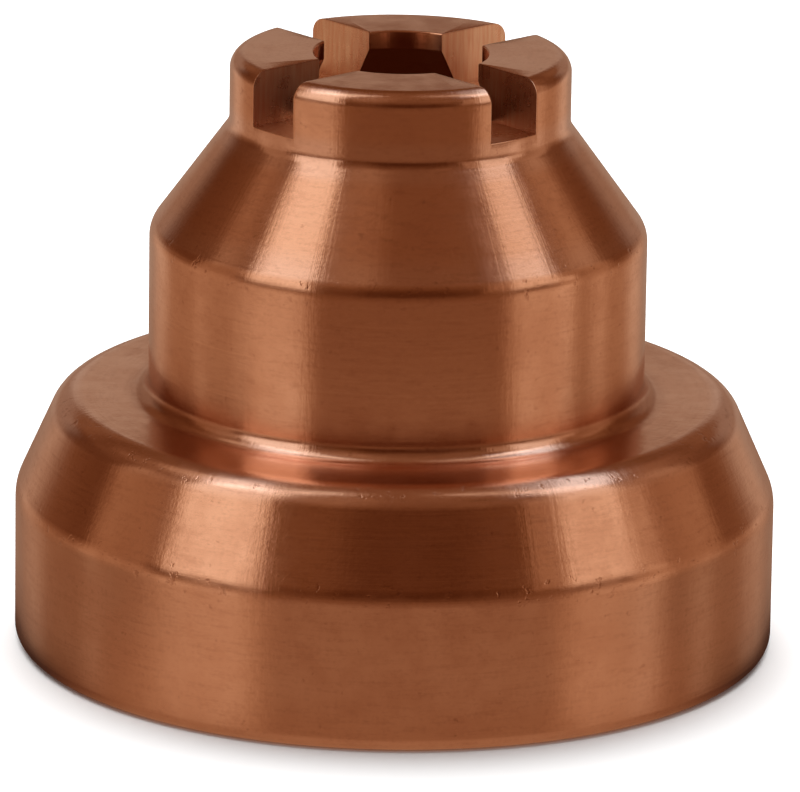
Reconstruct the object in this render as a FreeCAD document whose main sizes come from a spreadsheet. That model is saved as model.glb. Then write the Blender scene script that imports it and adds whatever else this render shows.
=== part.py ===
import FreeCAD, Part
import math
import os
import Sketcher

# Drag shield of a hand-held cutting torch: one copper piece, turned from bar and then slotted.
# Millimetres, +Z from the rim to the front, origin at the centre of the rim's face, slots on the diagonals.

SIZES = {
    # Front land and crown
    "land_radius": 2.85,
    "land_length": 0.6,
    "crown_wall": 2.72,
    "crown_length": 2.35,
    "slot_width": 1.95,
    "slot_depth": 1.8,
    "slot_turn": 45.0,
    "slot_run_out": 1.0,
    # Nose cone and barrel
    "nose_spread": 2.58,
    "nose_length": 3.55,
    "barrel_length": 5.6,
    # Ledge, taper and rim
    "ledge_width": 2.9,
    "taper_spread": 1.45,
    "taper_length": 3.25,
    "rim_length": 5.1,
    # Walls round the chamber and the threaded socket
    "barrel_wall": 1.75,
    "ledge_wall": 2.1,
    "rim_wall": 2.05,
    "chamber_cone_length": 6.9,
    # Relief behind the thread and lead-in at its mouth
    "relief_length": 1.3,
    "relief_depth": 0.6,
    "entry_chamfer": 0.6,
    # Rounded edges, the broken foot edge and the filled corner
    "foot_chamfer": 0.25,
    "rim_round": 1.5,
    "ledge_round": 0.95,
    "corner_fill": 0.35,
    "barrel_round": 1.0,
    "crown_round": 0.55,
}

# How near an edge lies to the ring looked for
SAME = 1e-4


class Size:
    """A length as a number, to place geometry, and as the sheet's expression, to bind it."""

    def __init__(self, value, text):
        self.value = value
        self.text = text

    def __add__(self, other):
        return Size(self.value + other.value, f"{self.text} + {other.text}")

    def __sub__(self, other):
        return Size(self.value - other.value, f"{self.text} - ({other.text})")


def size(alias):
    return Size(SIZES[alias], f"Sizes.{alias}")


# Radii, each from the one inside it
LAND_RADIUS = size("land_radius")
CROWN_RADIUS = LAND_RADIUS + size("crown_wall")
BARREL_RADIUS = CROWN_RADIUS + size("nose_spread")
LEDGE_RADIUS = BARREL_RADIUS + size("ledge_width")
RIM_RADIUS = LEDGE_RADIUS + size("taper_spread")
CHAMBER_RADIUS = BARREL_RADIUS - size("barrel_wall")
THREAD_RADIUS = RIM_RADIUS - size("rim_wall")
RELIEF_RADIUS = THREAD_RADIUS + size("relief_depth")

# Heights, each from the one below it, and those of the cavity from the walls above them
FOOT = Size(0.0, "0")
RIM_TOP = size("rim_length")
LEDGE_TOP = RIM_TOP + size("taper_length")
BARREL_TOP = LEDGE_TOP + size("barrel_length")
NOSE_TOP = BARREL_TOP + size("nose_length")
FRONT = NOSE_TOP + size("crown_length")
SEAT = LEDGE_TOP - size("ledge_wall")
THREAD_TOP = SEAT - size("relief_length")
LAND_FOOT = FRONT - size("land_length")
CHAMBER_TOP = LAND_FOOT - size("chamber_cone_length")


def make_sheet(document):
    """Put every driving dimension in the sheet, one alias a row."""
    sheet = document.addObject("Spreadsheet::Sheet", "Sizes")
    for row, (alias, value) in enumerate(SIZES.items(), start=1):
        sheet.set(f"A{row}", alias)
        sheet.set(f"B{row}", str(value))
        sheet.setAlias(f"B{row}", alias)
    document.recompute()


def add_sketch(body, name, role):
    """Start a sketch on one of the body's own origin planes."""
    sketch = body.newObject("Sketcher::SketchObject", name)
    plane = next(item for item in body.Origin.OriginFeatures if item.Role == role)
    sketch.AttachmentSupport = [(plane, "")]
    sketch.MapMode = "FlatFace"
    return sketch


def bind(sketch, constraint, name, expression):
    """Add a dimension and bind it to the sheet."""
    number = sketch.addConstraint(constraint)
    sketch.renameConstraint(number, name)
    sketch.setExpression(f"Constraints.{name}", expression)


def place_corner(sketch, item, name, radius, height):
    """Hold a corner at its radius and height. A radius of None lies on the axis."""
    horizontal, vertical = -1, -2
    if radius is None:
        sketch.addConstraint(Sketcher.Constraint("PointOnObject", item, 1, vertical))
    else:
        width = Sketcher.Constraint("DistanceX", -1, 1, item, 1, radius.value)
        bind(sketch, width, f"{name}_radius", radius.text)
    if height is FOOT:
        sketch.addConstraint(Sketcher.Constraint("PointOnObject", item, 1, horizontal))
    else:
        rise = Sketcher.Constraint("DistanceY", -1, 1, item, 1, height.value)
        bind(sketch, rise, f"{name}_height", height.text)


class Corner:
    """A corner of a section: where its two sides meet, and where they end if an arc rounds it."""

    def __init__(self, name, radius, height, rounding=None):
        self.name = name
        self.radius = radius
        self.height = height
        self.rounding = rounding
        self.point = FreeCAD.Vector(radius.value if radius else 0.0, height.value, 0)
        self.entry = self.point
        self.leave = self.point

    def make_arc(self, before, after):
        """The arc that touches both sides, drawn counter-clockwise as every sketch arc is."""
        back = (before.point - self.point).normalize()
        ahead = (after.point - self.point).normalize()
        half_angle = back.getAngle(ahead) / 2
        arc_radius = SIZES[self.rounding]
        self.entry = self.point + back * (arc_radius / math.tan(half_angle))
        self.leave = self.point + ahead * (arc_radius / math.tan(half_angle))
        centre = self.point + (back + ahead).normalize() * (arc_radius / math.sin(half_angle))
        circle = Part.Circle(centre, FreeCAD.Vector(0, 0, 1), arc_radius)
        start, end = self.entry, self.leave
        if not self.turns_left(before, after):
            start, end = end, start
        return Part.ArcOfCircle(circle, circle.parameter(start), circle.parameter(end))

    def turns_left(self, before, after):
        """Whether the outline turns counter-clockwise here."""
        return (self.point - before.point).cross(after.point - self.point).z > 0


def draw_section(sketch, corners):
    """Draw half a turned section, its corners bound to the sheet and its rounded ones joined by arcs."""
    count = len(corners)
    neighbours = [(corners[index - 1], corners[(index + 1) % count]) for index in range(count)]
    arcs = {corner.name: corner.make_arc(*pair) for corner, pair in zip(corners, neighbours) if corner.rounding}
    sides = [sketch.addGeometry(Part.LineSegment(corner.leave, pair[1].entry), False)
             for corner, pair in zip(corners, neighbours)]
    for index, (corner, pair) in enumerate(zip(corners, neighbours)):
        side_in, side_out = sides[index - 1], sides[index]
        if corner.name not in arcs:
            sketch.addConstraint(Sketcher.Constraint("Coincident", side_in, 2, side_out, 1))
            place_corner(sketch, side_out, corner.name, corner.radius, corner.height)
            continue
        arc = sketch.addGeometry(arcs[corner.name], False)
        entry, leave = 1, 2
        if not corner.turns_left(*pair):
            entry, leave = leave, entry
        sketch.addConstraint(Sketcher.Constraint("Tangent", side_in, 2, arc, entry))
        sketch.addConstraint(Sketcher.Constraint("Tangent", arc, leave, side_out, 1))
        bind(sketch, Sketcher.Constraint("Radius", arc, SIZES[corner.rounding]),
             f"{corner.name}_round", f"Sizes.{corner.rounding}")
        meeting = sketch.addGeometry(Part.Point(corner.point), True)
        sketch.addConstraint(Sketcher.Constraint("PointOnObject", meeting, 1, side_in))
        sketch.addConstraint(Sketcher.Constraint("PointOnObject", meeting, 1, side_out))
        place_corner(sketch, meeting, corner.name, corner.radius, corner.height)


def turn(body, kind, name, sketch):
    """Turn a section about the axis, to add a solid or to cut a groove."""
    feature = body.newObject(kind, name)
    feature.Profile = sketch
    feature.ReferenceAxis = (sketch, ["V_Axis"])
    feature.Angle = 360
    sketch.Visibility = False
    body.Document.recompute()
    return feature


def turned_blank(body):
    """Rim, taper, ledge, barrel, nose cone and crown, from the foot up."""
    sketch = add_sketch(body, "OutsideSection", "XZ_Plane")
    draw_section(sketch, [
        Corner("foot_axis", None, FOOT),
        Corner("foot", RIM_RADIUS, FOOT),
        Corner("rim_top", RIM_RADIUS, RIM_TOP, "rim_round"),
        Corner("ledge_edge", LEDGE_RADIUS, LEDGE_TOP, "ledge_round"),
        Corner("barrel_foot", BARREL_RADIUS, LEDGE_TOP),
        Corner("barrel_top", BARREL_RADIUS, BARREL_TOP, "barrel_round"),
        Corner("crown_foot", CROWN_RADIUS, NOSE_TOP),
        Corner("front_edge", CROWN_RADIUS, FRONT, "crown_round"),
        Corner("front_axis", None, FRONT),
    ])
    return turn(body, "PartDesign::Revolution", "TurnedBlank", sketch)


def bored_cavity(body):
    """Threaded socket, relief, seat, chamber, inner cone and front land, right through."""
    sketch = add_sketch(body, "CavitySection", "XZ_Plane")
    draw_section(sketch, [
        Corner("mouth_axis", None, FOOT),
        Corner("mouth", THREAD_RADIUS, FOOT),
        Corner("thread_top", THREAD_RADIUS, THREAD_TOP),
        Corner("relief_foot", RELIEF_RADIUS, THREAD_TOP),
        Corner("relief_top", RELIEF_RADIUS, SEAT),
        Corner("seat_edge", CHAMBER_RADIUS, SEAT),
        Corner("chamber_top", CHAMBER_RADIUS, CHAMBER_TOP),
        Corner("land_foot", LAND_RADIUS, LAND_FOOT),
        Corner("land_top", LAND_RADIUS, FRONT),
        Corner("land_axis", None, FRONT),
    ])
    return turn(body, "PartDesign::Groove", "BoredCavity", sketch)


def ring_edge(feature, radius, height):
    """The name of the round edge at a radius and height."""
    for number, edge in enumerate(feature.Shape.Edges, start=1):
        curve = edge.Curve
        if not isinstance(curve, Part.Circle):
            continue
        if abs(curve.Radius - radius.value) < SAME and abs(curve.Center.z - height.value) < SAME:
            return f"Edge{number}"
    raise ValueError(f"{feature.Label} has no round edge at {radius.text}")


def bevel_edge(body, base, name, radius, height, alias):
    """Bevel the round edge at a radius and height, or fill it where it is a corner."""
    bevel = body.newObject("PartDesign::Chamfer", name)
    bevel.Base = (base, [ring_edge(base, radius, height)])
    bevel.setExpression("Size", f"Sizes.{alias}")
    body.Document.recompute()
    return bevel


def draw_slot(sketch):
    """Draw one slot across the crown, centred on the axis and open at both ends."""
    reach = CROWN_RADIUS + size("slot_run_out")
    half_width = SIZES["slot_width"] / 2
    ends = [FreeCAD.Vector(-reach.value, -half_width, 0), FreeCAD.Vector(reach.value, -half_width, 0),
            FreeCAD.Vector(reach.value, half_width, 0), FreeCAD.Vector(-reach.value, half_width, 0)]
    sides = [sketch.addGeometry(Part.LineSegment(ends[index - 1], ends[index]), False) for index in range(4)]
    near_end, near_side, far_end, far_side = sides
    for index in range(4):
        sketch.addConstraint(Sketcher.Constraint("Coincident", sides[index - 1], 2, sides[index], 1))
    for side in (near_side, far_side):
        sketch.addConstraint(Sketcher.Constraint("Horizontal", side))
    for side in (near_end, far_end):
        sketch.addConstraint(Sketcher.Constraint("Vertical", side))
    sketch.addConstraint(Sketcher.Constraint("Symmetric", near_side, 1, far_side, 1, -1, 1))
    width = Sketcher.Constraint("DistanceY", far_end, 1, far_end, 2, SIZES["slot_width"])
    bind(sketch, width, "slot_width", "Sizes.slot_width")
    length = Sketcher.Constraint("DistanceX", -1, 1, near_side, 2, reach.value)
    bind(sketch, length, "slot_reach", reach.text)


def gas_slots(body):
    """Mill one slot down into the crown and turn it to make the cross."""
    sketch = add_sketch(body, "SlotOutline", "XY_Plane")
    turned = FreeCAD.Rotation(FreeCAD.Vector(0, 0, 1), SIZES["slot_turn"])
    sketch.AttachmentOffset = FreeCAD.Placement(FreeCAD.Vector(0, 0, FRONT.value), turned)
    sketch.setExpression("AttachmentOffset.Base.z", FRONT.text)
    sketch.setExpression("AttachmentOffset.Rotation.Angle", "Sizes.slot_turn")
    draw_slot(sketch)

    slot = body.newObject("PartDesign::Pocket", "GasSlot")
    slot.Profile = sketch
    slot.setExpression("Length", "Sizes.slot_depth")
    sketch.Visibility = False
    body.Document.recompute()

    cross = body.newObject("PartDesign::PolarPattern", "SlotCross")
    cross.Originals = [slot]
    cross.Axis = (sketch, ["N_Axis"])
    cross.Angle = 90
    cross.Occurrences = 2
    body.Tip = cross
    body.Document.recompute()
    return slot, cross


def must_shrink(features):
    """Stop if a cut took nothing away."""
    for before, after in zip(features, features[1:]):
        if not after.Shape.Volume < before.Shape.Volume:
            raise ValueError(f"{after.Label} cut nothing")


def make_drag_shield(document):
    body = document.addObject("PartDesign::Body", "DragShield")
    body.Label = "drag_shield"
    body.Placement = FreeCAD.Placement()
    blank = turned_blank(body)
    broken = bevel_edge(body, blank, "FootChamfer", RIM_RADIUS, FOOT, "foot_chamfer")
    filled = bevel_edge(body, broken, "BarrelCorner", BARREL_RADIUS, LEDGE_TOP, "corner_fill")
    bored = bored_cavity(body)
    entry = bevel_edge(body, bored, "ThreadEntry", THREAD_RADIUS, FOOT, "entry_chamfer")
    slot, cross = gas_slots(body)
    must_shrink([blank, broken])
    must_shrink([filled, bored, entry, slot, cross])
    return body


def check_document(document, bodies):
    """Stop on any failed object, and on a body that isn't one valid solid."""
    for item in document.Objects:
        if "Invalid" in item.State or "Error" in item.State:
            raise ValueError(f"{item.Label} failed: {item.State}")
    for body in bodies:
        shape = body.Shape
        if shape.isNull() or not shape.isValid() or len(shape.Solids) != 1:
            raise ValueError(f"{body.Label} isn't one valid solid")


def write_parts(bodies):
    os.makedirs("parts", exist_ok=True)
    for body in bodies:
        body.Shape.exportStep(f"parts/{body.Label}.step")
        box = body.Shape.optimalBoundingBox()
        print(f"{body.Label}: {box.XLength:.3f} x {box.YLength:.3f} x {box.ZLength:.3f} mm, "
              f"{body.Shape.Volume:.1f} mm3")


def main():
    document = FreeCAD.newDocument("DragShield")
    make_sheet(document)
    bodies = [make_drag_shield(document)]
    document.recompute()
    check_document(document, bodies)
    write_parts(bodies)


main()
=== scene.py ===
import math

import bpy
from mathutils import Matrix, Vector


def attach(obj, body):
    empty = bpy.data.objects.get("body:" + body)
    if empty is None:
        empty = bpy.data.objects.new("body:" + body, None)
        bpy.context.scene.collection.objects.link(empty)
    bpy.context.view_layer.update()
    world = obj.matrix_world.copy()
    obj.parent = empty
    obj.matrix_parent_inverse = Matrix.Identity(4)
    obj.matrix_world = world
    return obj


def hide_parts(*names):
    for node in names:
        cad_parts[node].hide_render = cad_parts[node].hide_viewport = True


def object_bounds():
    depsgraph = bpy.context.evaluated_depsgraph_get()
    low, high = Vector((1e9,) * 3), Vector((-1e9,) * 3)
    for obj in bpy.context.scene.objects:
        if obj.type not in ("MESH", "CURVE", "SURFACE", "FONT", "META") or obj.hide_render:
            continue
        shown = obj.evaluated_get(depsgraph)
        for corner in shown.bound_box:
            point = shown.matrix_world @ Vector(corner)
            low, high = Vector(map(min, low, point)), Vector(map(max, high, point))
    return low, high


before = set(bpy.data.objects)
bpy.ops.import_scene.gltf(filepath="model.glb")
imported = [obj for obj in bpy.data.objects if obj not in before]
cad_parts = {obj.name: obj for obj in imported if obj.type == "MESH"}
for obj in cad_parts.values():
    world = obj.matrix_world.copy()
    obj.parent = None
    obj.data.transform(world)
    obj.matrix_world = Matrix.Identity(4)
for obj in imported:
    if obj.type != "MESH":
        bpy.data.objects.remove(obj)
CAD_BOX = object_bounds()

bl_info = {
    "name": "Copper drag shield",
    "version": (1, 0, 0),
    "blender": (4, 5, 0),
    "location": "View3D > Sidebar > Drag Shield",
    "description": "Turns, slots and threads the copper shield and sets up its studio",
    "category": "Object",
}

MM = 0.001
PICTURE_WIDTH = 800
PICTURE_HEIGHT = 792
NODE = "drag_shield"

# Stations round the full turn, and how many degrees one facet of a rounded corner takes
TURN_STEPS = 216
ARC_STEP = 5.0
# Half a station, so that no station line runs along a slot's wall
STATION_TURN = math.radians(180.0 / TURN_STEPS)
THREAD_STEPS = 96
# Vertices nearer than this are one, and directions whose product is over this are parallel
SAME = 2e-7
PARALLEL = 0.99
# Angles between faces: slot edges over the first are broken, edges under the second shaded smooth
BREAK_ABOVE = math.radians(35.0)
SMOOTH_BELOW = math.radians(32.0)
# Lean of the thread's flanks
FLANK_LEAN = math.radians(30.0)
# The floor and the table card lie just under the part, so that no faces meet
FLOOR_SIDE = 3.0
FLOOR_HEIGHT = -0.002 * MM
CARD_HEIGHT = -0.004 * MM


def length(label, about, millimetres):
    """A length that the user may change, kept in metres."""
    return bpy.props.FloatProperty(
        name=label, description=about, default=millimetres * MM, min=0.0,
        subtype="DISTANCE", unit="LENGTH", precision=5,
    )


def angle(label, about, degrees):
    """An angle that the user may change, kept in radians."""
    return bpy.props.FloatProperty(
        name=label, description=about, default=math.radians(degrees), subtype="ANGLE", unit="ROTATION",
    )


def share(label, about, default, highest=1.0):
    """A plain number from nothing up."""
    return bpy.props.FloatProperty(name=label, description=about, default=default, min=0.0, max=highest)


def colour(label, about, default):
    """A linear colour that the user may change."""
    return bpy.props.FloatVectorProperty(
        name=label, description=about, default=default, size=3, min=0.0, max=1.0, subtype="COLOR",
    )


class ShieldSizes(bpy.types.PropertyGroup):
    """Radii and heights of the turned section, its roundings, the gas slots and the thread."""

    # Outside radii
    rim_radius: length("Rim radius", "Radius of the wide rim", CAD_BOX[1].x / MM)
    ledge_radius: length("Ledge radius", "Radius at the top of the taper", 11.05)
    barrel_radius: length("Barrel radius", "Radius of the plain barrel", 8.15)
    crown_radius: length("Crown radius", "Radius of the slotted crown", 5.57)
    land_radius: length("Front bore radius", "Radius of the bore in the crown", 2.85)
    # Outside heights
    height: length("Height", "From the rim's face to the crown's", CAD_BOX[1].z / MM)
    rim_top: length("Rim top", "Where the rim turns into the taper", 5.1)
    ledge_top: length("Ledge top", "Where the barrel starts", 8.35)
    barrel_top: length("Barrel top", "Where the nose cone starts", 13.95)
    crown_foot: length("Crown foot", "Where the crown starts", 17.5)
    # Inside radii and heights
    thread_radius: length("Thread radius", "Inner radius of the thread", 10.45)
    relief_radius: length("Relief radius", "Radius of the thread's run-out relief", 11.05)
    chamber_radius: length("Chamber radius", "Radius of the nozzle's chamber", 6.4)
    thread_top: length("Thread top", "Where the thread ends", 4.95)
    seat: length("Seat", "Height of the seat over the relief", 6.25)
    chamber_top: length("Chamber top", "Where the chamber turns into its cone", 12.35)
    land_foot: length("Land foot", "Where the cone meets the front bore", 19.25)
    lead_in: length("Lead-in", "Chamfer at the mouth of the thread", 0.6)
    # Roundings
    foot_round: length("Foot rounding", "Outer edge of the rim's face", 0.45)
    rim_round: length("Rim rounding", "Between the rim and the taper", 1.5)
    ledge_round: length("Ledge rounding", "Between the taper and the ledge", 1.1)
    barrel_fillet: length("Barrel fillet", "Where the barrel meets the ledge", 0.55)
    barrel_round: length("Barrel rounding", "Between the barrel and the nose", 1.0)
    crown_fillet: length("Crown fillet", "Where the crown meets the nose", 0.7)
    crown_round: length("Crown rounding", "Outer edge of the crown", 0.55)
    broken_edge: length("Broken edge", "Inner edges, just deburred", 0.06)
    # Gas slots
    slot_width: length("Slot width", "Width of each gas slot", 1.95)
    slot_floor: length("Slot floor", "Height of the slots' floor", 18.05)
    slot_turn: angle("Slot turn", "From the X axis to the first slot", 45.0)
    slot_break: length("Slot edge", "How much the slots' edges are broken", 0.035)
    # Thread
    pitch: length("Pitch", "Rise of the thread in one turn", 1.0)
    thread_depth: length("Thread depth", "From the inner radius to the root", 0.54)


class CopperFinish(bpy.types.PropertyGroup):
    """Colours and wear of the bare turned copper."""

    fresh: colour("Fresh copper", "Colour of clean turned copper", (0.93, 0.62, 0.48))
    handled: colour("Handled copper", "Colour where the copper has dulled", (0.88, 0.56, 0.42))
    # Paler copper for the roundings, partly rubbed wear and partly painted highlight
    rubbed_sheen: colour("Rubbed copper", "Colour of the roundings that are rubbed bright", (0.96, 0.71, 0.63))
    # The stain colour is also the painted shade of the barrel's corner and the slots, and darkens the
    # crown's face
    dark: colour("Stained copper", "Colour of small stains and burrs", (0.45, 0.20, 0.12))
    milled: colour("Milled copper", "Colour of the slots' walls and floors", (1.0, 0.80, 0.66))
    polish: share("Polish", "Roughness of the smoothest places", 0.16)
    dullness: share("Dullness", "Roughness of the dullest places", 0.23)
    grain: share("Grain", "How much the turning marks stretch the shine", 0.8)
    mark_depth: length("Mark depth", "Depth of the turning marks", 0.0034)


class StudioLook(bpy.types.PropertyGroup):
    """The camera's place and the light of the studio."""

    azimuth: angle("Camera azimuth", "Round the object, from the front", 3.19)
    elevation: angle("Camera elevation", "Above the floor", 16.203)
    roll: angle("Camera roll", "How far the camera leans", -0.848)
    distance: length("Camera distance", "From the aimed point", 298.53)
    aim_height: length("Aim height", "Height of the aimed point", 8.85)
    focal_pixels: bpy.props.FloatProperty(
        name="Focal length", description="Focal length in pixels of the picture", default=9083.0, min=1.0,
    )
    aim_x: bpy.props.FloatProperty(name="Aim across", description="Pixel of the aimed point", default=396.29)
    aim_y: bpy.props.FloatProperty(name="Aim down", description="Pixel of the aimed point", default=376.74)
    floor: colour("Floor", "Colour of the floor", (0.93, 0.93, 0.93))
    lamp: colour("Lamp colour", "Colour of the warm panels at full brightness", (0.932, 0.689, 0.517))
    plain: colour("White colour", "Colour of the white wall behind", (1.0, 0.92, 0.76))
    overhead_colour: colour("Overhead colour", "Colour of the white panels overhead", (0.95, 1.0, 1.0))
    warm_green: share("Dim green", "Power that takes green out of the dim light", 1.4, 4.0)
    warm_blue: share("Dim blue", "Power that takes blue out of the dim light", 1.75, 4.0)
    overhead: share("Overhead light", "Strength of the weak light from all over the floor", 1.25, 100.0)
    overhead_width: angle("Overhead width", "Angle that the overhead light takes up", 150.0)
    behind: share("Light behind", "Strength of the light above and behind the part", 4.5, 100.0)
    behind_width: angle("Width behind", "Angle that the light behind takes up", 72.0)
    behind_lean: angle("Lean behind", "From straight above to the light behind", 26.0)
    behind_turn: angle("Turn behind", "From straight behind to the left", 6.5)


# Corners of the section and how they are rounded


class Corner:
    """One corner of the section, at a radius and height, with a rounding."""

    def __init__(self, radius, height, rounding=0.0):
        self.place = Vector((radius, 0.0, height))
        self.rounding = rounding

    def arc(self, before, after):
        """Where the rounding starts, its centre, its signed turn about +Y and where it ends."""
        back = (before.place - self.place).normalized()
        on = (after.place - self.place).normalized()
        half = back.angle(on) / 2
        reach = self.rounding / math.tan(half)
        start = self.place + back * reach
        end = self.place + on * reach
        centre = self.place + (back + on).normalized() * (self.rounding / math.sin(half))
        turn = math.pi - 2 * half
        sweep = (start - centre).cross(end - centre).y
        return start, centre, math.copysign(turn, sweep), end


def section_corners(sizes):
    """The closed section, up the outside and down through the bore."""
    edge = sizes.broken_edge
    return [
        Corner(sizes.rim_radius, 0.0, sizes.foot_round),
        Corner(sizes.rim_radius, sizes.rim_top, sizes.rim_round),
        Corner(sizes.ledge_radius, sizes.ledge_top, sizes.ledge_round),
        Corner(sizes.barrel_radius, sizes.ledge_top, sizes.barrel_fillet),
        Corner(sizes.barrel_radius, sizes.barrel_top, sizes.barrel_round),
        Corner(sizes.crown_radius, sizes.crown_foot, sizes.crown_fillet),
        Corner(sizes.crown_radius, sizes.height, sizes.crown_round),
        Corner(sizes.land_radius, sizes.height, edge),
        Corner(sizes.land_radius, sizes.land_foot, edge),
        Corner(sizes.chamber_radius, sizes.chamber_top, edge),
        Corner(sizes.chamber_radius, sizes.seat, edge),
        Corner(sizes.relief_radius, sizes.seat, edge),
        Corner(sizes.relief_radius, sizes.thread_top, edge),
        Corner(sizes.thread_radius, sizes.thread_top, edge),
        Corner(sizes.thread_radius, sizes.lead_in, edge),
        Corner(sizes.thread_radius + sizes.lead_in, 0.0, edge),
    ]


# Modelling, with Blender's own operators


def alone(name, mesh_operator, **settings):
    """Add a primitive with nothing else selected, name it and open it for editing."""
    bpy.ops.object.select_all(action="DESELECT")
    mesh_operator(**settings)
    piece = bpy.context.object
    piece.name = name
    piece.data.name = name
    bpy.ops.object.mode_set(mode="EDIT")
    bpy.ops.mesh.select_all(action="SELECT")
    return piece


def draw_section(name, corners):
    """Draw the closed section as edges, straight runs by extrusion and rounded corners by spin."""
    piece = alone(name, bpy.ops.mesh.primitive_plane_add, size=MM, location=(0.0, 0.0, 0.0))
    bpy.ops.mesh.merge(type="CENTER")
    arcs = []
    for number, corner in enumerate(corners):
        after = corners[(number + 1) % len(corners)]
        arcs.append(corner.arc(corners[number - 1], after))
    here = arcs[0][0]
    bpy.ops.transform.translate(value=here)
    for start, centre, turn, end in arcs:
        if (start - here).length > SAME:
            bpy.ops.mesh.extrude_vertices_move(TRANSFORM_OT_translate={"value": start - here})
        steps = max(2, math.ceil(math.degrees(abs(turn)) / ARC_STEP))
        bpy.ops.mesh.spin(steps=steps, angle=-turn, center=centre, axis=(0.0, 1.0, 0.0))
        here = end
    bpy.ops.mesh.extrude_vertices_move(TRANSFORM_OT_translate={"value": arcs[0][0] - here})
    bpy.ops.mesh.select_all(action="SELECT")
    bpy.ops.mesh.remove_doubles(threshold=SAME)
    return piece


def turn_section():
    """Spin the drawn section into a closed body whose faces point outwards."""
    bpy.ops.mesh.spin(
        steps=TURN_STEPS, angle=2 * math.pi, use_auto_merge=True,
        center=(0.0, 0.0, 0.0), axis=(0.0, 0.0, 1.0),
    )
    bpy.ops.mesh.select_all(action="SELECT")
    bpy.ops.mesh.remove_doubles(threshold=SAME)
    bpy.ops.transform.rotate(value=STATION_TURN, orient_axis="Z", center_override=(0.0, 0.0, 0.0))
    bpy.ops.mesh.normals_make_consistent(inside=False)
    bpy.ops.object.mode_set(mode="OBJECT")


def cut_away(piece, cutter):
    """Take the cutter's volume out of the piece, and throw the cutter away."""
    bpy.ops.object.mode_set(mode="OBJECT")
    bpy.ops.object.select_all(action="DESELECT")
    bpy.context.view_layer.objects.active = piece
    piece.select_set(True)
    cut = piece.modifiers.new("cut", "BOOLEAN")
    cut.operation = "DIFFERENCE"
    cut.solver = "EXACT"
    cut.object = cutter
    bpy.ops.object.modifier_apply(modifier=cut.name)
    mesh = cutter.data
    bpy.data.objects.remove(cutter)
    bpy.data.meshes.remove(mesh)


def slot_turns(sizes):
    """The turns of the two cuts that make the four slots."""
    return [sizes.slot_turn + quarter * math.pi / 2 for quarter in range(2)]


def mill_slots(piece, sizes):
    """Mill two bars' width right across the crown, which leaves its four teeth."""
    reach = 2 * sizes.crown_radius + 2 * MM
    rise = sizes.height - sizes.slot_floor + MM
    for turn in slot_turns(sizes):
        bar = alone("slot_cutter", bpy.ops.mesh.primitive_cube_add, size=1.0, location=(0.0, 0.0, 0.0))
        bpy.ops.transform.resize(value=(reach, sizes.slot_width, rise))
        bpy.ops.transform.translate(value=(0.0, 0.0, sizes.slot_floor + rise / 2))
        bpy.ops.transform.rotate(value=turn, orient_axis="Z", center_override=(0.0, 0.0, 0.0))
        cut_away(piece, bar)


def cut_thread(piece, sizes):
    """Cut the thread's helical groove from below the mouth into the relief."""
    flank = sizes.thread_depth * math.tan(FLANK_LEAN)
    # Half widths of the groove at its root and, a little inside the bore, at its mouth
    root = sizes.pitch / 16
    inner = sizes.thread_radius - 0.1 * MM
    outer = sizes.thread_radius + sizes.thread_depth
    wide = root + flank * (outer - inner) / sizes.thread_depth
    # It starts below the socket's mouth, and its last part of a turn runs out in the relief
    start = -1.5 * sizes.pitch
    run_out = 0.4
    groove = alone("thread_cutter", bpy.ops.mesh.primitive_plane_add, size=MM, location=(0.0, 0.0, 0.0))
    bpy.ops.mesh.merge(type="CENTER")
    outline = [(inner, -wide), (outer, -root), (outer, root), (inner, wide), (inner, -wide)]
    here = Vector((0.0, 0.0, 0.0))
    for number, (radius, rise) in enumerate(outline):
        there = Vector((radius, 0.0, start + rise))
        if number == 0:
            bpy.ops.transform.translate(value=there)
        else:
            bpy.ops.mesh.extrude_vertices_move(TRANSFORM_OT_translate={"value": there - here})
        here = there
    bpy.ops.mesh.select_all(action="SELECT")
    bpy.ops.mesh.remove_doubles(threshold=SAME)
    bpy.ops.object.mode_set(mode="OBJECT")
    screw = groove.modifiers.new("screw", "SCREW")
    screw.axis = "Z"
    screw.screw_offset = sizes.pitch
    screw.iterations = round((sizes.thread_top - start) / sizes.pitch + run_out)
    screw.steps = THREAD_STEPS
    screw.render_steps = THREAD_STEPS
    screw.use_merge_vertices = False
    bpy.ops.object.modifier_apply(modifier=screw.name)
    bpy.ops.object.mode_set(mode="EDIT")
    bpy.ops.mesh.select_all(action="SELECT")
    bpy.ops.mesh.fill_holes(sides=4)
    bpy.ops.mesh.select_all(action="SELECT")
    bpy.ops.mesh.normals_make_consistent(inside=False)
    cut_away(piece, groove)


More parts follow.
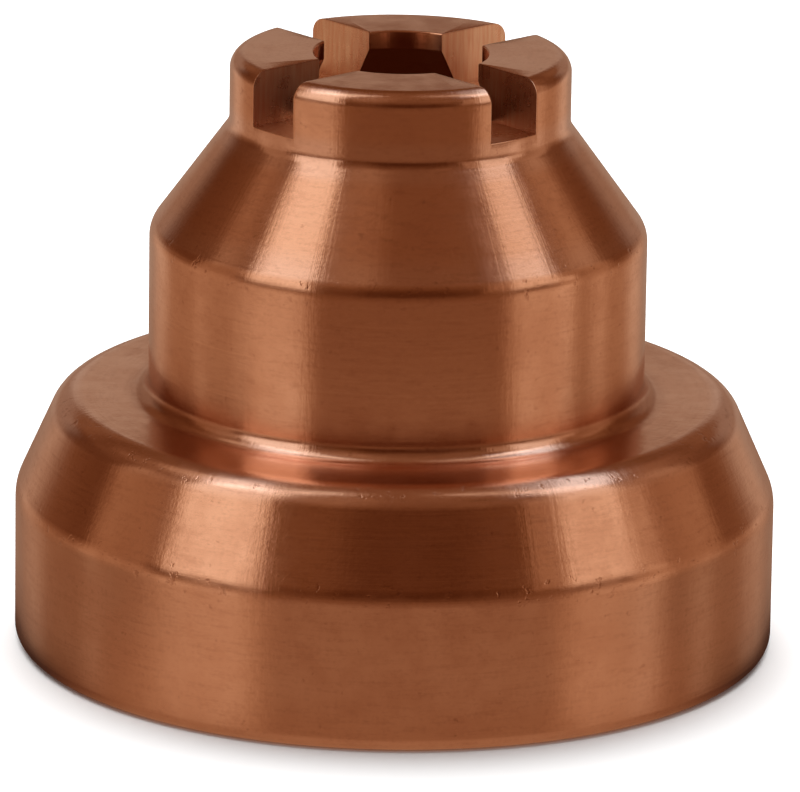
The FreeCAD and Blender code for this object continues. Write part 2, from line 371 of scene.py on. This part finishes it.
def break_slot_edges(piece, sizes):
    """Break the sharp edges that the slot mill left on the teeth."""
    bpy.ops.object.mode_set(mode="EDIT")
    bpy.ops.mesh.select_all(action="DESELECT")
    bpy.ops.object.mode_set(mode="OBJECT")
    mesh = piece.data
    half = sizes.slot_width / 2
    wall_ways = [Vector((math.cos(turn), math.sin(turn), 0.0)) for turn in slot_turns(sizes)]

    def on_slot(face):
        """Whether the face is a slot's floor or wall."""
        if face.center.z < sizes.slot_floor - SAME:
            return False
        if abs(face.center.z - sizes.slot_floor) < SAME and face.normal.z > PARALLEL:
            return True
        return any(
            abs(abs(face.center.dot(way)) - half) < SAME and abs(face.normal.dot(way)) > PARALLEL
            for way in wall_ways
        )

    cut_faces = {face.index for face in mesh.polygons if on_slot(face)}
    faces_at = {}
    for face in mesh.polygons:
        for key in face.edge_keys:
            faces_at.setdefault(key, []).append(face.index)
    for edge in mesh.edges:
        pair = faces_at.get(edge.key, [])
        if len(pair) != 2 or not cut_faces.intersection(pair):
            continue
        one, other = (mesh.polygons[index].normal for index in pair)
        edge.select = one.angle(other) > BREAK_ABOVE
    bpy.ops.object.mode_set(mode="EDIT")
    bpy.ops.mesh.select_mode(type="EDGE")
    bpy.ops.mesh.bevel(offset=sizes.slot_break, segments=2, affect="EDGES", clamp_overlap=True)
    bpy.ops.mesh.select_mode(type="VERT")
    bpy.ops.object.mode_set(mode="OBJECT")


def smooth_piece(piece):
    """Shade the turned faces smooth, keep the milled edges crisp and let the wide faces lead."""
    bpy.ops.object.mode_set(mode="OBJECT")
    bpy.ops.object.select_all(action="DESELECT")
    bpy.context.view_layer.objects.active = piece
    piece.select_set(True)
    bpy.ops.object.shade_smooth_by_angle(angle=SMOOTH_BELOW)
    weighted = piece.modifiers.new("weighted", "WEIGHTED_NORMAL")
    weighted.mode = "FACE_AREA"
    weighted.weight = 90
    weighted.keep_sharp = True
    bpy.ops.object.modifier_apply(modifier=weighted.name)


# Materials, with shader maths as Python expressions


class Signal:
    """One number of a node tree, which Python's operators work on."""

    def __init__(self, board, socket):
        self.board = board
        self.socket = socket

    def math(self, operation, *others, clamp=False):
        values = dict(enumerate((self, *others)))
        return self.board.add("ShaderNodeMath", {"operation": operation, "use_clamp": clamp}, values)

    def __add__(self, other):
        return self.math("ADD", other)

    def __sub__(self, other):
        return self.math("SUBTRACT", other)

    def __mul__(self, other):
        return self.math("MULTIPLY", other)

    def __truediv__(self, other):
        return self.math("DIVIDE", other)

    def __pow__(self, other):
        return self.math("POWER", other)

    def __radd__(self, other):
        return self.board.number("ADD", other, self)

    def __rsub__(self, other):
        return self.board.number("SUBTRACT", other, self)

    def __rmul__(self, other):
        return self.board.number("MULTIPLY", other, self)

    def __rtruediv__(self, other):
        return self.board.number("DIVIDE", other, self)

    def __rpow__(self, other):
        return self.board.number("POWER", other, self)

    def __neg__(self):
        return self * -1.0

    def __abs__(self):
        return self.math("ABSOLUTE")

    def limit(self):
        """The number held between 0 and 1."""
        return self.math("ADD", 0.0, clamp=True)


class Board:
    """A node tree that nodes are added to."""

    def __init__(self, tree):
        self.tree = tree

    def add(self, kind, settings=None, values=None, output=0):
        """Add a node, make its settings, fill its sockets and give one of its outputs."""
        node = self.tree.nodes.new(kind)
        for name, value in (settings or {}).items():
            setattr(node, name, value)
        for key, value in (values or {}).items():
            socket = node.inputs[key]
            if isinstance(value, Signal):
                self.tree.links.new(value.socket, socket)
            else:
                socket.default_value = value
        return Signal(self, node.outputs[output])

    def add_last(self, kind, shader):
        """Add an output node and join the shader to it."""
        node = self.tree.nodes.new(kind)
        self.tree.links.new(shader.socket, node.inputs["Surface"])

    def number(self, operation, *values):
        """A Math node for an operation that a plain number comes first in."""
        return self.add("ShaderNodeMath", {"operation": operation}, dict(enumerate(values)))

    def parts(self, vector):
        """The three parts of a vector."""
        first = self.add("ShaderNodeSeparateXYZ", values={0: vector})
        node = first.socket.node
        return [Signal(self, output) for output in node.outputs]

    def vector(self, x, y, z):
        """A vector made of three parts."""
        return self.add("ShaderNodeCombineXYZ", values={0: x, 1: y, 2: z})

    def step(self, value, low, high):
        """A smooth rise from 0 at low to 1 at high."""
        return self.add(
            "ShaderNodeMapRange", {"interpolation_type": "SMOOTHSTEP"},
            {0: value, 1: low, 2: high, 3: 0.0, 4: 1.0},
        )

    def noise(self, vector, scale, detail=3.0, roughness=0.5, fourth=None):
        """Noise between about 0.3 and 0.7."""
        values = {"Vector": vector, "Scale": scale, "Detail": detail, "Roughness": roughness}
        settings = {"noise_dimensions": "3D"}
        if fourth is not None:
            settings = {"noise_dimensions": "4D"}
            values["W"] = fourth
        return self.add("ShaderNodeTexNoise", settings, values)

    def blend(self, amount, one, other):
        """Mix two colours by an amount."""
        return self.add(
            "ShaderNodeMix", {"data_type": "RGBA", "blend_type": "MIX"},
            {0: amount, 6: one, 7: other}, output=2,
        )


def copper_material(finish, sizes):
    """Bare copper with turning marks round the axis, dulled patches, worn edges and milled slots."""
    material = bpy.data.materials.new("turned_copper")
    material.use_nodes = True
    material.diffuse_color = (*finish.fresh, 1.0)
    board = Board(material.node_tree)
    shader = material.node_tree.nodes["Principled BSDF"]

    place = board.add("ShaderNodeTexCoord", output="Object")
    in_mm = board.add("ShaderNodeVectorMath", {"operation": "SCALE"}, {0: place, "Scale": 1.0 / MM})
    x, y, z = board.parts(in_mm)
    radius = (x * x + y * y).math("SQRT")
    # A trace is added, so that nothing is divided by nothing on the axis
    trace = 0.001
    cosine = x / (radius + trace)
    sine = y / (radius + trace)
    # Heights in millimetres, as x, y and z are
    ledge_top = sizes.ledge_top / MM
    barrel_top = sizes.barrel_top / MM
    slot_floor = sizes.slot_floor / MM
    crown_top = sizes.height / MM

    # Fine marks and flecks run round the axis and change a little along their way, scuffs run up it
    marks = board.noise(board.vector(radius, z, cosine * 0.08), 9.0, 3.0, 0.6, sine * 0.08)
    feed = board.noise(board.vector(radius, z, cosine * 0.1), 2.0, 2.0, 0.5, sine * 0.1)
    scuffs = board.noise(board.vector(cosine * 55.0, sine * 55.0, z * 0.6 + radius * 0.6), 1.0, 3.0, 0.6)
    grain = board.noise(in_mm, 7.0, 3.0, 0.65)
    cloud = board.noise(in_mm, 1.3, 4.0, 0.6)
    patches = board.noise(in_mm, 0.4, 3.0, 0.55)
    flecks = board.noise(board.vector(radius, z, cosine * 1.4), 7.0, 3.0, 0.7, sine * 1.4)

    def near_ring(ring_radius, ring_height, low, high):
        """One close to a ring round the axis, nothing further away than the higher distance."""
        across = radius - ring_radius / MM
        along = z - ring_height / MM
        away = (across * across + along * along).math("SQRT")
        return 1.0 - board.step(away, low, high)

    # How near a ring something starts, and how far away it ends
    nick_band = (0.15, 0.7)
    narrow_band = (0.3, 0.6)
    wide_band = (0.4, 0.9)
    # Handling nicks the outer edges of the rim, the ledge and the barrel
    worn = near_ring(sizes.rim_radius, sizes.rim_top, *nick_band)
    worn = worn + near_ring(sizes.ledge_radius, sizes.ledge_top, *nick_band)
    worn = (worn + near_ring(sizes.barrel_radius, sizes.barrel_top, *nick_band)).limit()
    nicks = board.noise(in_mm, 2.4, 3.0, 0.65)
    # The roundings of the ledge, the crown and the nose are painted paler, partly rubbed wear and partly a
    # painted highlight; the barrel's foot is painted paler in front only, a painted highlight
    rubbed_sheen = near_ring(sizes.ledge_radius, sizes.ledge_top, *wide_band) * 0.7
    in_front = board.step(-y, 5.6, 6.8)
    rubbed_sheen = rubbed_sheen + near_ring(sizes.barrel_radius, sizes.ledge_top, *narrow_band) * in_front
    rubbed_sheen = rubbed_sheen + near_ring(sizes.crown_radius, sizes.height, *narrow_band) * 0.6
    rubbed_sheen = rubbed_sheen + near_ring(sizes.crown_radius, sizes.crown_foot, *wide_band) * 0.7
    nose_foot = near_ring(sizes.barrel_radius, sizes.barrel_top, 0.5, 1.5) * 0.7
    rubbed_sheen = (rubbed_sheen + nose_foot * board.step(z, barrel_top + 0.1, barrel_top + 0.3)).limit()
    # Painted shade darkens the corner round the barrel's foot, in front only on the barrel
    on_barrel = board.step(z, ledge_top + 0.3, ledge_top + 0.6)
    corner_shade = near_ring(sizes.barrel_radius, sizes.ledge_top, *wide_band) * (1.0 - in_front) * 0.38
    corner_shade = corner_shade + near_ring(sizes.barrel_radius, sizes.ledge_top, 0.5, 1.9) * on_barrel * 0.32

    # Slots lie along the diagonals, above their floor
    half_slot = sizes.slot_width / 2 / MM
    slot = 0.0
    across_slots = []
    for turn in slot_turns(sizes):
        side = x * math.sin(turn) - y * math.cos(turn)
        across_slots.append(side)
        slot = (1.0 - board.step(abs(side), half_slot + 0.005, half_slot + 0.03)) + slot
    high = board.step(z, slot_floor - 0.03, slot_floor - 0.005)
    slot = (slot * high).limit()
    milling = board.noise(board.vector(*across_slots, z * 0.08), 7.0, 3.0, 0.6)

    # Dull patches, then the paler places of wear and painted highlight, then stains, scars and the painted
    # corner shade over both
    dull = board.step(patches * 0.6 + cloud * 0.4, 0.38, 0.64)
    fresh = (*finish.fresh, 1.0)
    handled = (*finish.handled, 1.0)
    bright = (*finish.rubbed_sheen, 1.0)
    dark = (*finish.dark, 1.0)
    cut = (*finish.milled, 1.0)
    base = board.blend(rubbed_sheen, board.blend(dull, fresh, handled), bright)
    speckle = ((flecks * 0.6 + grain * 0.4 - 0.49) * 1.3).limit()
    spots = board.step(board.noise(in_mm, 3.1, 3.0, 0.6), 0.66, 0.74)
    scars = board.step(nicks, 0.60, 0.70) * worn
    base = board.blend((spots * 0.3 + scars * 0.35 + speckle + corner_shade).limit(), base, dark)
    # Painted shade darkens the slots, most of all their floors and the two in front, and the crown's face is
    # darker
    milled = board.blend(board.step(milling, 0.30, 0.75), cut, handled)
    wall = board.step(z, slot_floor + 0.02, slot_floor + 0.12)
    front_face = board.step(z, crown_top - 0.06, crown_top - 0.02)
    # The back half, nothing towards the camera, so that the two slots in front get more painted shade
    clean = board.step(y, -1.5, 1.0)
    slot_shade_and_dark_face = front_face * 0.30 + slot * (1.0 - wall) * 0.20 + slot * (1.0 - clean) * 0.32
    base = board.blend(slot_shade_and_dark_face, board.blend(slot, base, milled), dark)

    # The shine and the marks' relief, with the mill's marks in the slots
    span = finish.dullness - finish.polish
    rough = finish.polish + dull * span + (cloud - 0.5) * 0.05 + (marks - 0.5) * 0.05
    rough = rough + slot * 0.10 - rubbed_sheen * 0.02
    turned = marks * 0.8 + feed * 0.5 + scuffs * 0.7 + grain * 0.7 + cloud * 0.5 - scars * 1.6
    height = turned + (milling * (0.15 + wall * 1.65) - turned) * slot
    bump = board.add(
        "ShaderNodeBump", values={"Strength": 1.0, "Distance": finish.mark_depth, "Height": height},
    )

    links = material.node_tree.links
    links.new(base.socket, shader.inputs["Base Color"])
    links.new(rough.socket, shader.inputs["Roughness"])
    links.new(bump.socket, shader.inputs["Normal"])
    shader.inputs["Metallic"].default_value = 1.0
    shader.inputs["Anisotropic"].default_value = finish.grain
    quarter_turn = 0.25
    shader.inputs["Anisotropic Rotation"].default_value = quarter_turn
    return material


def floor_material(look):
    """A pale plain floor with the least mottle, so that it isn't one dead flat tone."""
    material = bpy.data.materials.new("studio_floor")
    material.use_nodes = True
    board = Board(material.node_tree)
    shader = material.node_tree.nodes["Principled BSDF"]
    place = board.add("ShaderNodeTexCoord", output="Object")
    grain = board.noise(place, 40.0, 2.0, 0.5)
    mottle = 0.985
    darker = tuple(mottle * part for part in look.floor)
    base = board.blend(grain, (*look.floor, 1.0), (*darker, 1.0))
    material.node_tree.links.new(base.socket, shader.inputs["Base Color"])
    shader.inputs["Roughness"].default_value = 0.9
    shader.inputs["Specular IOR Level"].default_value = 0.0
    return material


# Elevation at which a leaning panel has its stated azimuth, and azimuth past which one is behind
LEAN_FROM = 24.0
BEHIND_FROM = 150.0


class Lamp:
    """One panel of the studio as the copper sees it; angles in degrees, azimuth from the camera."""

    def __init__(self, level, middle, half, soft, low=-90.0, high=90.0, end=1.0, lean=0.0):
        self.level = level
        self.middle = middle
        self.half = half
        self.soft = soft
        self.low = low
        self.high = high
        self.end = end
        self.lean = lean

    def across(self, board, around):
        """The panel's brightness by azimuth alone."""
        if abs(self.middle) > BEHIND_FROM:
            off = abs(abs(around) - abs(self.middle))
        else:
            off = abs(around - self.middle)
        return (1.0 - board.step(off, self.half - self.soft, self.half + self.soft)) * self.level

    def light(self, board, around, rise):
        """The panel's brightness in the direction looked at."""
        if self.lean:
            around = around - (rise - LEAN_FROM) * self.lean
        foot = board.step(rise, self.low - self.end, self.low + self.end)
        head = 1.0 - board.step(rise, self.high - self.end, self.high + self.end)
        return self.across(board, around) * foot * head


# The dim room below and above the horizon, and the degrees over which it changes
DIM_BELOW = 0.20
DIM_ABOVE = 0.065
DIM_CHANGE = 10.0
WARM_LAMPS = [
    # Tall softboxes left and right, and the dimmer inner edge of the right one
    Lamp(0.90, -60.0, 17.0, 4.5, 11.0, 38.0, 4.0, lean=-0.30),
    Lamp(0.80, -60.5, 18.5, 3.5, 38.0, 84.0, 4.0, lean=-0.30),
    Lamp(0.72, 70.0, 12.5, 4.0, 11.0, 38.0, 4.0, lean=0.36),
    Lamp(0.57, 72.0, 12.5, 3.5, 38.0, 84.0, 4.0, lean=0.36),
    Lamp(0.36, 83.0, 7.0, 3.0, 6.0, 20.0, 4.0),
    Lamp(0.24, 52.0, 8.0, 2.5, 11.0, 43.0, 8.0, lean=0.36),
    Lamp(0.06, -31.0, 14.0, 8.0, 8.0, 60.0, 8.0),
    Lamp(0.04, 38.0, 10.0, 8.0, 8.0, 50.0, 8.0),
    # Their glow on the table
    Lamp(0.38, -60.0, 18.0, 8.0, -90.0, -2.0, 4.0),
    Lamp(0.35, 71.0, 17.0, 8.0, -90.0, -2.0, 4.0),
    # Pale side walls, and the table before them
    Lamp(0.24, -92.0, 13.0, 4.0, 4.0, 36.0, 6.0),
    Lamp(0.22, 99.0, 17.0, 4.0, 4.0, 36.0, 6.0),
    Lamp(0.06, -118.0, 20.0, 8.0, 3.0, 50.0, 6.0),
    Lamp(0.085, 120.0, 20.0, 8.0, 3.0, 50.0, 6.0),
    Lamp(0.36, -105.0, 24.0, 10.0, 48.0, 70.0, 5.0),
    Lamp(0.22, -92.0, 14.0, 6.0, -90.0, 4.0, 4.0),
    Lamp(0.18, 96.0, 16.0, 6.0, -90.0, 4.0, 4.0),
    Lamp(0.20, -126.0, 24.0, 8.0, -90.0, -3.0, 4.0),
    Lamp(0.20, 127.0, 24.0, 8.0, -90.0, -3.0, 4.0),
    # Back wall, ceiling, and weak light over the camera
    Lamp(0.12, 180.0, 38.0, 8.0, 4.0, 32.0, 5.0),
    Lamp(0.035, 0.0, 200.0, 5.0, 24.0, 95.0, 4.0),
    Lamp(0.07, 0.0, 200.0, 5.0, 35.0, 95.0, 2.5),
    Lamp(0.04, 0.0, 200.0, 5.0, 66.0, 95.0, 12.0),
    Lamp(0.08, -28.0, 18.0, 10.0, 46.0, 74.0, 8.0),
    Lamp(0.02, 10.0, 30.0, 15.0, 46.0, 74.0, 8.0),
]
PLAIN_LAMPS = [
    # White back wall, and the table before it
    Lamp(0.14, 180.0, 11.0, 3.0, 6.0, 20.0, 2.0),
    Lamp(0.11, 180.0, 40.0, 8.0, 4.0, 20.0, 2.0),
    Lamp(0.18, 180.0, 46.0, 8.0, -90.0, 2.0, 4.0),
]


class Panel:
    """A white panel overhead, placed on a level plane one unit up; its sides may slant to the front."""

    # How softly each edge fades, to both sides of it
    inner_soft = 0.03
    outer_soft = 0.12
    back_soft = 0.20
    front_soft = 0.07

    def __init__(self, way_out, level, inner, inner_slant, outer, outer_slant, back):
        self.way_out = way_out
        self.level = level
        self.inner = inner
        self.inner_slant = inner_slant
        self.outer = outer
        self.outer_slant = outer_slant
        self.back = back

    def light(self, board, side, front):
        """The panel's brightness at a place on the plane."""
        out = side * self.way_out
        edges = [
            (out - self.inner - front * self.inner_slant, self.inner_soft),
            (self.outer + front * self.outer_slant - out, self.outer_soft),
            (front - self.back, self.back_soft),
            (PANEL_FRONT - front - out * PANEL_TURN, self.front_soft),
        ]
        light = self.level
        for past, soft in edges:
            light = board.step(past, -soft, soft) * light
        return light


# All panels end in front at one slanted line
PANEL_FRONT = 0.60
PANEL_TURN = 0.55
# A lower direction counts as this high, so that every one meets the plane
LOWEST_RISE = 0.05
PANELS = [
    Panel(-1.0, 0.52, 0.42, 0.40, 0.82, 1.00, -0.40),
    Panel(1.0, 0.28, 0.42, 0.40, 0.58, 0.45, -0.60),
    Panel(1.0, 0.74, 0.58, 0.45, 1.16, 1.10, -0.95),
]
# The table close to the part, lit differently from the rest of it; distances in millimetres
TABLE_REACH = 50.0
TABLE_FADE = 34.0
SIDES_FROM = 26.0
SIDES_FULL = 34.0
TABLE_UNDER = 0.03
TABLE_DIM = 0.05
TABLE_WHITE = 0.02
TABLE_SIDES = [Lamp(0.60, -50.0, 12.0, 6.0), Lamp(0.60, 62.0, 11.0, 6.0)]
TABLE_FRONT = Lamp(0.45, 0.0, 52.0, 20.0)
TABLE_BACK = Lamp(0.16, 180.0, 75.0, 20.0)
# The light's share at the foot, how solid the card is, and how much more solid it is at the foot
FOOT_DIM = 0.70
TABLE_SHARE = 0.38
FOOT_SHARE = 0.20


def tinted(board, warm, plain, look):
    """The colour of warm light, deeper where it is dim, with white light added."""
    red, green, blue = look.lamp
    white_red, white_green, white_blue = look.plain
    return board.vector(
        warm * red + plain * white_red,
        warm ** look.warm_green * green + plain * white_green,
        warm ** look.warm_blue * blue + plain * white_blue,
    )


def towards_camera(x, y, look):
    """How far towards the camera and how far to its right, and the azimuth between, in degrees."""
    turn = look.azimuth
    front = x * math.sin(turn) - y * math.cos(turn)
    side = x * math.cos(turn) + y * math.sin(turn)
    return front, side, side.math("ARCTAN2", front) * (180.0 / math.pi)


def table_glow(look, sizes):
    """What the copper sees of the table round its foot: dark under it, lit round it, gone further out."""
    card = alone(
        "table_glow", bpy.ops.mesh.primitive_circle_add, vertices=96, radius=TABLE_REACH * MM,
        fill_type="NGON", location=(0.0, 0.0, 0.0),
    )
    bpy.ops.transform.translate(value=(0.0, 0.0, CARD_HEIGHT))
    bpy.ops.object.mode_set(mode="OBJECT")
    material = bpy.data.materials.new("table_glow")
    material.use_nodes = True
    material.node_tree.nodes.clear()
    board = Board(material.node_tree)
    place = board.add("ShaderNodeTexCoord", output="Object")
    x, y, _ = board.parts(place)
    away = (x * x + y * y).math("SQRT") / MM
    _, _, around = towards_camera(x, y, look)
    foot = sizes.rim_radius / MM
    light = TABLE_DIM + TABLE_FRONT.across(board, around) + TABLE_BACK.across(board, around)
    light = light * (FOOT_DIM + board.step(away, foot + 0.5, foot + 6.0) * (1.0 - FOOT_DIM))
    sides = board.step(away, SIDES_FROM, SIDES_FULL)
    for lamp in TABLE_SIDES:
        light = light + lamp.across(board, around) * sides
    outside = board.step(away, foot - 0.6, foot - 0.3)
    near = 1.0 - board.step(away, foot + 0.3, foot + 1.5)
    warm = TABLE_UNDER + outside * (light - TABLE_UNDER)
    colour_seen = tinted(board, warm, outside * near * TABLE_WHITE, look)
    glow = board.add("ShaderNodeEmission", values={"Color": colour_seen, "Strength": 1.0})
    clear = board.add("ShaderNodeBsdfTransparent")
    share_here = TABLE_SHARE + (1.0 - board.step(away, foot + 0.5, foot + 4.5)) * FOOT_SHARE
    covered = near + (1.0 - near) * (1.0 - board.step(away, TABLE_FADE, TABLE_REACH)) * share_here
    both = board.add("ShaderNodeMixShader", values={0: covered, 1: clear, 2: glow})
    board.add_last("ShaderNodeOutputMaterial", both)
    card.data.materials.append(material)
    card.visible_camera = False
    card.visible_diffuse = False
    card.visible_shadow = False


def studio_world(look):
    """Panels round a dim warm studio, as the copper sees them, and plain white for the camera."""
    world = bpy.data.worlds.new("studio")
    world.use_nodes = True
    world.node_tree.nodes.clear()
    board = Board(world.node_tree)
    way = board.add("ShaderNodeTexCoord", output="Generated")
    x, y, z = board.parts(way)
    front, side, around = towards_camera(x, y, look)
    rise = z.math("ARCSINE") * (180.0 / math.pi)

    light = DIM_BELOW + board.step(rise, 0.0, DIM_CHANGE) * (DIM_ABOVE - DIM_BELOW)
    for lamp in WARM_LAMPS:
        light = light + lamp.light(board, around, rise)
    plain = sum(lamp.light(board, around, rise) for lamp in PLAIN_LAMPS)
    up = z.math("MAXIMUM", LOWEST_RISE)
    overhead = sum(panel.light(board, side / up, front / up) for panel in PANELS)
    warm = tinted(board, light, plain, look)
    cool = board.vector(*(overhead * part for part in look.overhead_colour))
    tint = board.add("ShaderNodeVectorMath", {"operation": "ADD"}, {0: warm, 1: cool})
    seen = board.add("ShaderNodeBackground", values={"Color": tint, "Strength": 1.0})
    backdrop = board.add("ShaderNodeBackground", values={"Color": (1.0, 1.0, 1.0, 1.0), "Strength": 1.0})
    camera_ray = board.add("ShaderNodeLightPath", output="Is Camera Ray")
    both = board.add("ShaderNodeMixShader", values={0: camera_ray, 1: seen, 2: backdrop})
    board.add_last("ShaderNodeOutputWorld", both)
    world.cycles_visibility.diffuse = False
    bpy.context.scene.world = world


def floor_light(name, energy, width, lean, turn):
    """A wide soft light for the floor and the shadow round the foot; the copper doesn't show it."""
    data = bpy.data.lights.new(name, "SUN")
    data.energy = energy
    data.angle = width
    lamp = bpy.data.objects.new(name, data)
    lamp.rotation_euler = (-lean, 0.0, turn)
    bpy.context.scene.collection.objects.link(lamp)
    lamp.visible_glossy = False


def place_camera(look):
    """Put the camera at the photograph's viewing angle."""
    data = bpy.data.cameras.new("camera")
    camera = bpy.data.objects.new("camera", data)
    bpy.context.scene.collection.objects.link(camera)
    aim = Vector((0.0, 0.0, look.aim_height))
    turn, rise = look.azimuth, look.elevation
    back = Vector((math.sin(turn) * math.cos(rise), -math.cos(turn) * math.cos(rise), math.sin(rise)))
    camera.location = aim + back * look.distance
    facing = (-back).to_track_quat("-Z", "Y").to_matrix()
    level = facing.to_4x4()
    lean = Matrix.Rotation(-look.roll, 4, "Z")
    camera.matrix_world = Matrix.Translation(camera.location) @ level @ lean
    data.sensor_width = 36.0
    data.lens = look.focal_pixels * data.sensor_width / PICTURE_WIDTH
    data.shift_x = (PICTURE_WIDTH / 2 - look.aim_x) / PICTURE_WIDTH
    data.shift_y = (look.aim_y - PICTURE_HEIGHT / 2) / PICTURE_WIDTH
    data.clip_start = 0.005
    data.clip_end = 20.0
    data.dof.use_dof = False
    bpy.context.scene.camera = camera


class MakeDragShield(bpy.types.Operator):
    """Turn, slot and thread the copper shield"""

    bl_idname = "object.make_drag_shield"
    bl_label = "Make drag shield"

    def execute(self, context):
        sizes = context.scene.shield_sizes
        finish = context.scene.copper_finish
        piece = draw_section("turned_shield", section_corners(sizes))
        turn_section()
        mill_slots(piece, sizes)
        cut_thread(piece, sizes)
        break_slot_edges(piece, sizes)
        smooth_piece(piece)
        piece.data.materials.clear()
        piece.data.materials.append(copper_material(finish, sizes))
        if len(piece.data.polygons) < TURN_STEPS:
            raise RuntimeError("the shield has lost its faces")
        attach(piece, "root")
        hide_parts(NODE)
        return {"FINISHED"}


class MakeStudio(bpy.types.Operator):
    """Lay the pale floor, light the studio and place the camera"""

    bl_idname = "scene.make_studio"
    bl_label = "Make studio"

    def execute(self, context):
        look = context.scene.studio_look
        floor = alone("floor", bpy.ops.mesh.primitive_plane_add, size=FLOOR_SIDE, location=(0.0, 0.0, 0.0))
        bpy.ops.transform.translate(value=(0.0, 0.0, FLOOR_HEIGHT))
        bpy.ops.object.mode_set(mode="OBJECT")
        floor.data.materials.append(floor_material(look))
        floor.visible_glossy = False
        studio_world(look)
        floor_light("overhead_light", look.overhead, look.overhead_width, 0.0, look.azimuth)
        turn = look.azimuth + look.behind_turn
        floor_light("light_behind", look.behind, look.behind_width, look.behind_lean, turn)
        table_glow(look, context.scene.shield_sizes)
        place_camera(look)
        scene = context.scene
        scene.view_settings.view_transform = "Standard"
        scene.view_settings.look = "None"
        return {"FINISHED"}


class DragShieldPanel(bpy.types.Panel):
    """Sizes, finish and studio of the drag shield"""

    bl_idname = "VIEW3D_PT_drag_shield"
    bl_label = "Drag Shield"
    bl_space_type = "VIEW_3D"
    bl_region_type = "UI"
    bl_category = "Drag Shield"

    def draw(self, context):
        layout = self.layout
        scene = context.scene
        for group in (scene.shield_sizes, scene.copper_finish, scene.studio_look):
            box = layout.box()
            for name in group.__annotations__:
                box.prop(group, name)
        layout.operator(MakeDragShield.bl_idname)
        layout.operator(MakeStudio.bl_idname)


CLASSES = (ShieldSizes, CopperFinish, StudioLook, MakeDragShield, MakeStudio, DragShieldPanel)


def register():
    for item in CLASSES:
        bpy.utils.register_class(item)
    scene = bpy.types.Scene
    scene.shield_sizes = bpy.props.PointerProperty(type=ShieldSizes)
    scene.copper_finish = bpy.props.PointerProperty(type=CopperFinish)
    scene.studio_look = bpy.props.PointerProperty(type=StudioLook)


def unregister():
    for name in ("shield_sizes", "copper_finish", "studio_look"):
        delattr(bpy.types.Scene, name)
    for item in reversed(CLASSES):
        bpy.utils.unregister_class(item)


def main():
    register()
    bpy.ops.object.make_drag_shield()
    bpy.ops.scene.make_studio()


if __name__ == "__main__":
    main()
